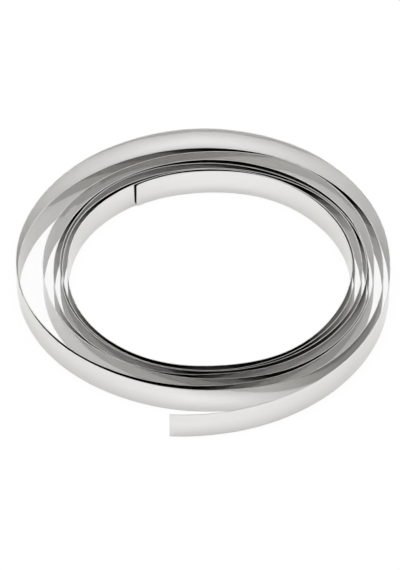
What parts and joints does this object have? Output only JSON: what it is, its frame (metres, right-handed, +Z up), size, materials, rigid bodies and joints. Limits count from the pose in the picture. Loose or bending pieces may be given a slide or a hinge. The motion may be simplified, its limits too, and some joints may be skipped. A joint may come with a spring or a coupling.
{
  "type": "nickel strip",
  "caption": "Loose open coil of thin flat nickel strip, lying on its slit edge, with both square-cut ends free.",
  "frame": {"origin": "middle of the coil's box from above, at the level of the slit edge that it lies on", "axes": "+Z up along the coil's axis and across the strip's width; -Y towards the free outer end; +X to the right as seen from there"},
  "size_m": [0.1012, 0.1124, 0.008],
  "materials": {
    "nickel": "bright cold-rolled nickel, as rolled, with a fine grain along the strip"
  },
  "bodies": {
    "root": {"nickel_strip": "nickel"}
  },
  "joints": []
}
